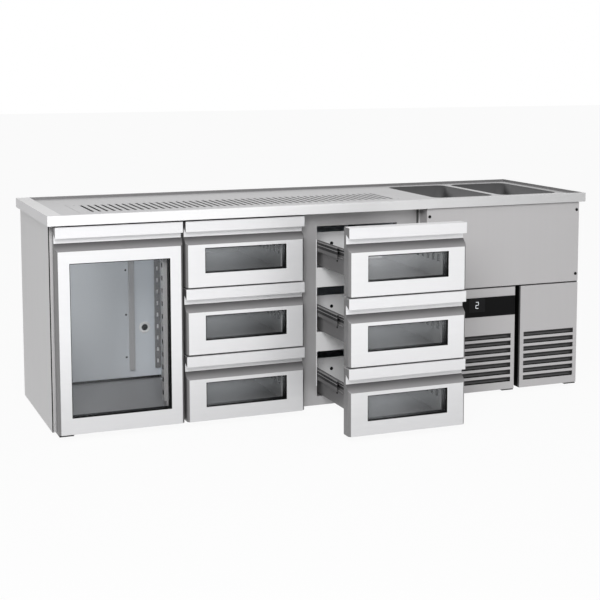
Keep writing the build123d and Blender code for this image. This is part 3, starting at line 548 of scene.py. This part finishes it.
# drawer boxes, with the runner members that are screwed to them
boxScrews = dict(
    radius=0.0042, height=0.0022, fromFront=(0.254, 0.06), fromBack=0.05, rise=0.047,
    boltRadius=0.00714, boltHeight=0.0033, boltInset=0.093, boltRise=0.075,
)
# black frames round the vents in the sides of a box
ventFrames = dict(
    count=6, start=0.025, pitch=0.044, width=0.020, top=0.012, bottom=0.042, sheet=0.002, proud=0.0008,
)


def screwHead(work, centre, axis, radius, height, side):
    rise = height * side
    profile = [(0, rise), (radius * 0.62, rise * 0.92), (radius, rise * 0.4), (radius, 0)]
    addTurned(work, profile, centre, axis, 20)


def drawerBox(name):
    low, high = corners(name + "_box")
    rails = corners(name + "_runners")
    top = rails[1].z
    bandCuts = [((0, 0, top - drop), (0, 0, 1)) for drop in slideBands.values()]
    box = sheetCopy(name + "_box", 0.0005, bandCuts)
    sideGap = 0.0142 - webGap  # from the middle member's web to the box side
    left, right = rails[0].x + sideGap, rails[1].x - sideGap
    edgeX = 0.0001
    # painted shade on the box sides
    paintFaces(box, sideShade, lambda c, n: abs(n.x) > 0.9 and not left + edgeX < c.x < right - edgeX)

    def onRunner(c):
        return not left - edgeX < c.x < right + edgeX and c.y > low.y + 0.003

    paintFaces(box, paints["runner_steel"], lambda c, n: onRunner(c))
    runnerLightAndShade(box, top, onRunner)
    # painted light on the box's back plate
    paintFaces(box, litSteel, lambda c, n: n.y < -0.9 and c.y > high.y - 0.01)
    # painted shade on the box's floor
    paintFaces(box, shadeSteel, lambda c, n: n.z > 0.9 and c.z < low.z + 0.01)
    work = bmesh.new()
    s = boxScrews
    for x, side in ((left, -1), (right, 1)):
        for y in [low.y + reach for reach in s["fromFront"]] + [high.y - s["fromBack"]]:
            screwHead(work, (x, y, low.z + s["rise"]), "X", s["radius"], s["height"], side)
    for x in (left + s["boltInset"], right - s["boltInset"]):
        bolt = (x, high.y - ventFrames["sheet"], low.z + s["boltRise"])
        screwHead(work, bolt, "Y", s["boltRadius"], s["boltHeight"], 1)
    screws = addPiece(work, name + "_screws", bodyOf[name + "_box"], "runner_steel", blackAndShade)
    smoothed(screws)
    v = ventFrames
    frames = bmesh.new()
    for x, side in ((left + v["sheet"], 1), (right - v["sheet"], -1)):
        for i in range(v["count"]):
            y = low.y + v["start"] + i * v["pitch"]
            near, far = sorted((x, x + side * v["proud"]))
            half = v["width"] / 2
            addBlock(frames, (near, y - half, top - v["bottom"]), (far, y + half, top - v["top"]))
    edged(addPiece(frames, name + "_vents", bodyOf[name + "_box"], "black_plastic", blackAndShade), 0.0003)


for name in drawers:
    drawerBox(name)
print("drawer boxes fitted:", len(drawers))

# sink bowls pressed from sheet, with round corners and a round foot
bowl = dict(width=0.2846, sheet=0.002, corner=0.0378, foot=0.022)


def sinkBowls():
    work = bmesh.new()
    low, high = corners("sink_bowls")
    width = bowl["width"]
    for x in (low.x, high.x - width):
        inner = Vector((x + bowl["sheet"], low.y + bowl["sheet"], low.z + bowl["sheet"]))
        outer = Vector((x + width - bowl["sheet"], high.y - bowl["sheet"], high.z))
        made = addBlock(work, inner, outer)
        faces = {f for v in made for f in v.link_faces}
        lid = max(faces, key=lambda f: f.calc_center_median().z)
        bmesh.ops.delete(work, geom=[lid], context="FACES_ONLY")
        edges = {e for v in made for e in v.link_edges}
        upright = [e for e in edges if abs(e.verts[0].co.z - e.verts[1].co.z) > 0.05]
        bmesh.ops.bevel(
            work, geom=upright, offset=bowl["corner"], segments=8, profile=0.5, affect="EDGES", material=-1
        )

        def onFloor(vert):
            near = inner.x - 1e-4 < vert.co.x < outer.x + 1e-4
            return near and abs(vert.co.z - inner.z) < mergeGap

        floorEdges = [e for e in work.edges if all(onFloor(v) for v in e.verts)]
        bmesh.ops.bevel(
            work, geom=floorEdges, offset=bowl["foot"], segments=6, profile=0.5, affect="EDGES", material=-1
        )
    piece = addPiece(work, "pressed_bowls", "cabinet", "bowl_steel")
    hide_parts("sink_bowls")
    wall = piece.modifiers.new("sheet", "SOLIDIFY")
    wall.thickness = bowl["sheet"]
    wall.offset = 1
    smoothed(piece, 40)


sinkBowls()
print("bowls pressed")

# fascia with its display and one lit digit, drawn as bars
display = dict(
    digitX=0.6358, digitZ=0.394, width=0.0125, height=0.026, bar=0.0022, glassX=0.075, glassZ=0.060,
    lift=0.0003,
)


def controlDisplay():
    sheetCopy("control_fascia", 0.0008)
    low = corners("control_fascia")[0]
    d = display
    work = bmesh.new()
    addBlock(
        work, (d["digitX"] - d["glassX"] / 2, low.y - d["lift"], d["digitZ"] - d["glassZ"] / 2),
        (d["digitX"] + d["glassX"] / 2, low.y + d["lift"], d["digitZ"] + d["glassZ"] / 2),
    )
    window = addPiece(work, "display_window", "control_door", "black_fascia", displayDark)
    edged(window, 0.0002)
    bars = bmesh.new()
    half, rise, bar = d["width"] / 2, d["height"] / 2, d["bar"]
    level = [(-half, half, z - bar / 2, z + bar / 2) for z in (-rise, 0, rise)]
    short = bar * 0.6  # the uprights stop short of the level bars
    upright = [
        (half - bar / 2, half + bar / 2, short, rise - short),
        (-half - bar / 2, -half + bar / 2, short - rise, -short),
    ]
    for x0, x1, z0, z1 in level + upright:
        addBlock(
            bars, (d["digitX"] + x0, low.y - 3 * d["lift"], d["digitZ"] + z0),
            (d["digitX"] + x1, low.y - 0.5 * d["lift"], d["digitZ"] + z1),
        )
    digit = addPiece(bars, "display_digit", "control_door", "black_fascia", digitWhite)
    edged(digit, 0.0002)


controlDisplay()
print("display lit")

# dust filters behind the louvres
dustFilter = dict(inset=0.012, bottom=0.024, top=0.262, setBack=0.0155, thick=0.002)
filterRib = dict(count=7, first=0.0322, pitch=0.0315, height=0.011, proud=0.0012, inset=0.022)


def louvreFilter(name, body):
    f = dustFilter
    low, high = corners(name)
    work = bmesh.new()
    addBlock(
        work, (low.x + f["inset"], low.y + f["setBack"], low.z + f["bottom"]),
        (high.x - f["inset"], low.y + f["setBack"] + f["thick"], low.z + f["top"]),
    )
    edged(addPiece(work, name + "_filter", body, "black_plastic", blackAndShade), 0.0004)
    r = filterRib
    ribs = bmesh.new()
    for i in range(r["count"]):
        base = low.z + r["first"] + i * r["pitch"]
        addBlock(
            ribs, (low.x + r["inset"], low.y + f["setBack"] - r["proud"], base),
            (high.x - f["inset"], low.y + f["setBack"], base + r["height"]),
        )
    # the ribs take the painted deep shade behind the louvres
    edged(addPiece(ribs, name + "_ribs", body, "black_plastic", deepShadeSteel), 0.0003)


louvreFilter("control_panel", "control_door")
louvreFilter("grille_panel", "grille_door")

# black screws of the service panel
cap = dict(radius=0.0065, shank=0.003, length=0.070, profile=[
    (0, 0.0012), (0.0022, 0.0012), (0.0026, 0.0028), (0.0045, 0.003), (0.0062, 0.0018), (0.0065, 0),
])


def panelScrews():
    low, high = corners("panel_screws")
    face = corners("service_panel")[0].y
    work = bmesh.new()
    inset = cap["radius"]
    for x in (low.x + inset, high.x - inset):
        for z in (low.z + inset, high.z - inset):
            addTurned(work, cap["profile"], (x, face, z), "Y", 24)
            shank = [(cap["shank"], 0), (cap["shank"], -cap["length"]), (0, -cap["length"] - 0.002)]
            addTurned(work, shank, (x, face, z), "Y", 12)
    piece = addPiece(work, "cap_screws", "cabinet", "black_screw")
    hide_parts("panel_screws")
    smoothed(piece)


panelScrews()

# levelling feet: pad, stem and lock nut
foot = dict(
    radius=0.024, nut=[(0, 0.0135), (0.013, 0.0135), (0.013, 0.0200), (0, 0.0200)], profile=[
        (0, 0), (0.0235, 0), (0.024, 0.001), (0.024, 0.0055), (0.0215, 0.0085), (0.012, 0.0095),
        (0.008, 0.0105), (0.008, 0.014),
    ],
)


def levellingFeet():
    low, high = corners("feet")
    work = bmesh.new()
    reach = foot["radius"]
    middleX = corners("service_panel")[0].x
    for x in (low.x + reach, middleX, high.x - reach):
        for y in (low.y + reach, high.y - reach):
            addTurned(work, foot["profile"], (x, y, 0), "Z", 32)
            addTurned(work, foot["nut"], (x, y, 0), "Z", 6)
    piece = addPiece(work, "levelling_feet", "cabinet", "black_plastic")
    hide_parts("feet")
    smoothed(piece)


levellingFeet()
print("small fittings turned")

# chromed bowl wastes with a cross bar and a hex nut, and the drip pan's drain
waste = dict(
    bore=0.0199, tail=0.0239, flange=0.0399, nut=0.033, nutHeight=0.009, ridge=0.0006, ridges=18,
    threaded=0.062, length=0.080, crossBar=0.0018,
)
drain = dict(bore=0.013, tube=0.016, spigot=0.015, flange=0.024, barb=0.0006)


def wasteFittings():
    low = corners("wastes")[0]
    bowls = corners("sink_bowls")
    seat = bowls[0].z + bowl["sheet"]
    w = waste
    work = bmesh.new()
    halfWidth = bowl["width"] / 2
    for x in (bowls[0].x + halfWidth, bowls[1].x - halfWidth):
        centre = (x, (bowls[0].y + bowls[1].y) / 2, seat)
        step = w["threaded"] / w["ridges"]
        start = 0.002 - w["length"]
        thread = [(w["tail"] - w["ridge"] * (i % 2), start + step * i) for i in range(w["ridges"] + 1)]
        profile = [(w["bore"], -w["length"]), (w["tail"] - 0.001, -w["length"])] + thread + [
            (w["tail"], -0.0005), (w["tail"] + 0.001, 0.0002), (w["flange"] - 0.0005, 0.0002),
            (w["flange"], 0.0012), (w["flange"] - 0.001, 0.0026), (w["flange"] - 0.004, 0.0030),
            (w["tail"] + 0.004, 0.0026), (w["tail"], 0.0016), (w["bore"], -0.0010),
            (w["bore"], -w["length"]),
        ]
        addTurned(work, profile, centre, "Z", 40)
        nutBase = -bowl["sheet"] - w["nutHeight"]
        nut = [(w["tail"] + 0.004, nutBase), (w["nut"] - 0.002, nutBase), (w["nut"], nutBase + 0.001)]
        nut += [(r, 2 * nutBase + w["nutHeight"] - h) for r, h in reversed(nut)]
        addTurned(work, nut + nut[:1], centre, "Z", 6)
        for turn in (0, 1):
            reach = (w["bore"], w["crossBar"]) if turn else (w["crossBar"], w["bore"])
            addBlock(
                work, (x - reach[0], centre[1] - reach[1], seat - 0.0045 - 0.0002 * turn),
                (x + reach[0], centre[1] + reach[1], seat - 0.0025 - 0.0002 * turn),
            )
    pan = corners("drip_pan")
    d = drain
    place = (low.x + d["flange"], (pan[0].y + pan[1].y) / 2, 0)
    top = pan[0].z + 0.002
    tube = [
        (d["bore"], low.z), (d["spigot"] - d["barb"] * 2, low.z), (d["spigot"], low.z + 0.004),
        (d["spigot"] - d["barb"], low.z + 0.0045), (d["spigot"], low.z + 0.0085),
        (d["spigot"] - d["barb"], low.z + 0.009), (d["spigot"], low.z + 0.0135), (d["tube"], low.z + 0.0142),
        (d["tube"], top), (d["flange"], top + 0.0002), (d["flange"] - 0.0006, top + 0.0016),
        (d["bore"] + 0.002, top + 0.0019), (d["bore"], top), (d["bore"], low.z),
    ]
    addTurned(work, tube, place, "Z", 28)
    piece = addPiece(work, "waste_fittings", "cabinet", "chromed_brass")
    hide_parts("wastes")
    smoothed(piece, 40)


wasteFittings()

# door compartment: port ring and its plug, screw plugs on the back wall, cove along the floor
inside = dict(
    portX=-0.628, portZ=0.278, ringIn=0.0140, ringOut=0.0250, ring=0.003,
    plugX=-0.7085, plugZ=(0.530, 0.338, 0.154), plug=0.0042, cove=0.009,
)


def compartmentFittings():
    s = inside
    wall = corners("back_panel")[0].y
    centre = (s["portX"], wall, s["portZ"])
    ring = bmesh.new()
    addTurned(ring, [
        (s["ringIn"], -0.004), (s["ringIn"], s["ring"] * 0.6), (s["ringIn"] + 0.002, s["ring"]),
        (s["ringOut"] - 0.003, s["ring"]), (s["ringOut"], s["ring"] * 0.3), (s["ringOut"], 0.0002),
        (s["ringIn"] + 0.0004, 0.0002), (s["ringIn"] + 0.0004, -0.004), (s["ringIn"], -0.004),
    ], centre, "Y", 40)
    smoothed(addPiece(ring, "port_ring", "cabinet", "black_plastic", portGrey))
    plugs = bmesh.new()
    bung = s["ringIn"] - 0.0006
    addTurned(plugs, [(0, 0), (bung, 0), (bung, -0.004), (0, -0.004)], centre, "Y", 32)
    button = [
        (0, 0.0020), (s["plug"] * 0.7, 0.0017), (s["plug"], 0.0006), (s["plug"], 0.0002), (0, 0.0002),
    ]
    for z in s["plugZ"]:
        addTurned(plugs, button, (s["plugX"], wall, z), "Y", 20)
    smoothed(addPiece(plugs, "wall_plugs", "cabinet", "black_plastic", blackAndShade))
    liner = corners("pilasters")
    floorTop = corners("floor_panels")[1].z
    cove = bmesh.new()
    addBlock(
        cove, (liner[0].x - 0.009, wall - s["cove"], floorTop + 0.0001),
        (liner[1].x + 0.0005, wall - 0.0001, floorTop + s["cove"]),
    )
    edged(addPiece(cove, "floor_cove", "cabinet", "gasket_rubber", blackAndShade), 0.002)


compartmentFittings()

# compressor: seam, terminal box and copper pipes
cooling = dict(pipe=0.005, seam=0.002, box=(0.030, 0.055, 0.060))


def coolingTrim():
    low, high = corners("compressor")
    coil = corners("condenser")
    centre = Vector(((low.x + high.x) / 2, (low.y + high.y) / 2, 0))
    radius = (high.x - low.x) / 2
    middle = low.z + 0.13
    work = bmesh.new()
    inner, outer = radius - 0.001, radius + cooling["seam"]
    addTurned(work, [
        (inner, middle - 0.006), (outer, middle - 0.004), (outer, middle + 0.004), (inner, middle + 0.006),
        (inner, middle - 0.006),
    ], centre, "Z", 48)
    front = low.y - 0.004
    addBlock(
        work, (centre.x - cooling["box"][1] / 2, front - cooling["box"][0] / 2, middle + 0.01),
        (centre.x + cooling["box"][1] / 2, front + cooling["box"][0], middle + 0.01 + cooling["box"][2]),
    )
    edged(addPiece(work, "compressor_trim", "cabinet", "compressor_paint"), 0.0012)
    left, height = low.x, low.z + 0.19
    side = coil[1].x + 0.045
    addPipe("hot_gas_pipe", [
        (left + 0.004, centre.y, height), (left - 0.03, centre.y, height), (side, centre.y, height),
        (side, coil[0].y + 0.03, height), (side, coil[0].y + 0.03, height + 0.03),
        (coil[0].x + 0.299, coil[0].y + 0.03, height + 0.03),
    ], cooling["pipe"], "cabinet", "coil_aluminium", copperPipe)
    wall = corners("bulkhead")[1].x
    addPipe("suction_pipe", [
        (left + 0.012, centre.y + 0.04, height - 0.02), (left - 0.03, centre.y + 0.06, height - 0.02),
        (left - 0.06, centre.y + 0.08, height + 0.06), (left - 0.06, centre.y + 0.08, height + 0.20),
        (left - 0.15, centre.y + 0.08, height + 0.22), (wall + 0.0005, centre.y + 0.08, height + 0.22),
    ], cooling["pipe"] * 1.4, "cabinet", "gasket_rubber", paints["gasket_rubber"])


coolingTrim()
for name in ("compressor", "condenser", "condenser_fan", "evaporator"):
    sheetCopy(name, 0.0006)

# screws round the back panel
backScrews = dict(radius=0.005, height=0.0022, inset=0.018, across=8, up=3)


def backPanelScrews():
    low, high = corners("back_panel")
    s = backScrews
    work = bmesh.new()
    radius, height = s["radius"], s["height"]
    head = [
        (0, -height), (radius * 0.6, -height * 0.9), (radius, -height * 0.3), (radius, 0.0005), (0, 0.0005),
    ]
    lastX, lastZ = s["across"] - 1, s["up"] - 1
    wide, tall = high.x - low.x - 2 * s["inset"], high.z - low.z - 2 * s["inset"]
    for i in range(s["across"]):
        for k in range(s["up"]):
            if i in (0, lastX) or k in (0, lastZ):
                x = low.x + s["inset"] + wide * i / lastX
                z = low.z + s["inset"] + tall * k / lastZ
                addTurned(work, head, (x, high.y, z), "Y", 18)
    smoothed(addPiece(work, "back_screws", "cabinet", "outer_steel"))


backPanelScrews()
print("fittings added")

# stage: pale floor, white surround and soft lamps
stageSettings = dict(
    floorTone=0.70, floorGlow=0.94, ambient=0.55, overhead=0.40, leftSide=0.45,
    lampPower=125, lampSize=1.7, lampPlace=(-1.9, -3.6, 2.6), lampAim=(0.1, -0.3, 0.4), stripPower=1.0,
)


def lightPath(tree):  # 1 for the rays that see the white surround itself
    path = tree.nodes.new("ShaderNodeLightPath")
    seen = [Wire(tree, path.outputs[k]) for k in ("Is Camera Ray", "Is Glossy Ray", "Is Transmission Ray")]
    return seen[0], seen[1].sums("MAXIMUM", seen[1], seen[2])


def background():  # white to the camera, dimmer overhead and on the left for the steel to show its folds
    s = stageSettings
    world = bpy.data.worlds.new("surround")
    bpy.context.scene.world = world
    world.use_nodes = True
    tree = world.node_tree
    camera, mirrored = lightPath(tree)
    place = Wire(tree).node("ShaderNodeTexCoord", out="Generated")
    across = place.node("ShaderNodeSeparateXYZ", sockets={0: place}, out="X")
    rise = place.node("ShaderNodeSeparateXYZ", sockets={0: place}, out="Z")
    soft = {"interpolation_type": "SMOOTHSTEP"}
    overhead = place.node("ShaderNodeMapRange", soft, {"Value": rise, "From Min": 0.2, "From Max": 0.8})
    leftSide = place.node("ShaderNodeMapRange", soft, {"Value": across, "From Min": -0.5, "From Max": -0.95})
    tone = 1 - overhead * s["overhead"] - leftSide * s["leftSide"]
    level = s["ambient"] + mirrored * (1 - s["ambient"])
    back = tree.nodes["Background"]
    back.inputs["Color"].default_value = (1, 1, 1, 1)
    tree.links.new((camera + (1 - camera) * tone * level).socket, back.inputs["Strength"])


def paleFloor():
    s = stageSettings
    work = bmesh.new()
    bmesh.ops.create_grid(work, x_segments=1, y_segments=1, size=30)
    mesh = bpy.data.meshes.new("floor")
    work.to_mesh(mesh)
    work.free()
    floor = bpy.data.objects.new("floor", mesh)
    bpy.context.scene.collection.objects.link(floor)
    material = bpy.data.materials.new("pale_floor")
    material.use_nodes = True
    tree = material.node_tree
    shader = tree.nodes["Principled BSDF"]
    shader.inputs["Base Color"].default_value = (s["floorTone"], s["floorTone"], s["floorTone"], 1)
    shader.inputs["Roughness"].default_value = 0.9
    shader.inputs["Specular IOR Level"].default_value = 0.1
    camera, mirrored = lightPath(tree)
    seen = camera.sums("MAXIMUM", camera, mirrored)
    glow = tree.nodes.new("ShaderNodeEmission")
    mix = tree.nodes.new("ShaderNodeMixShader")
    tree.links.new((seen * s["floorGlow"]).socket, mix.inputs[0])
    tree.links.new(shader.outputs[0], mix.inputs[1])
    tree.links.new(glow.outputs[0], mix.inputs[2])
    tree.links.new(mix.outputs[0], tree.nodes["Material Output"].inputs["Surface"])
    mesh.materials.append(material)


def lamps():
    s = stageSettings
    soft = bpy.data.lights.new("softLamp", "AREA")
    soft.energy = s["lampPower"]
    soft.size = s["lampSize"]
    lamp = bpy.data.objects.new("softLamp", soft)
    lamp.location = s["lampPlace"]
    aim = Vector(s["lampAim"]) - Vector(s["lampPlace"])
    lamp.rotation_euler = aim.to_track_quat("-Z", "Y").to_euler()
    bpy.context.scene.collection.objects.link(lamp)
    low, high = corners("ceiling_panel")
    strip = bpy.data.lights.new("compartmentLamp", "AREA")
    strip.shape = "RECTANGLE"
    strip.size, strip.size_y = 0.30, 0.10
    strip.energy = s["stripPower"]
    inside = bpy.data.objects.new("compartmentLamp", strip)
    inside.location = (low.x + 0.18, low.y + 0.10, low.z - 0.01)
    inside.rotation_euler = (math.radians(25), 0, 0)
    bpy.context.scene.collection.objects.link(inside)


background()
paleFloor()
lamps()

# camera at the photograph's place
shot = dict(place=(-2.026, -4.968, 1.420), turn=22.07, dip=6.24, lens=79.60, shiftX=-0.0362, shiftY=-0.16)
lens = bpy.data.cameras.new("shot")
lens.lens = shot["lens"]
lens.sensor_width = 36
lens.shift_x = shot["shiftX"]
lens.shift_y = shot["shiftY"]
camera = bpy.data.objects.new("shot", lens)
camera.location = shot["place"]
camera.rotation_euler = (math.radians(90 - shot["dip"]), 0, math.radians(-shot["turn"]))
bpy.context.scene.collection.objects.link(camera)
bpy.context.scene.camera = camera
bpy.context.scene.view_settings.view_transform = "Standard"
print("stage set")

bpy.context.view_layer.update()
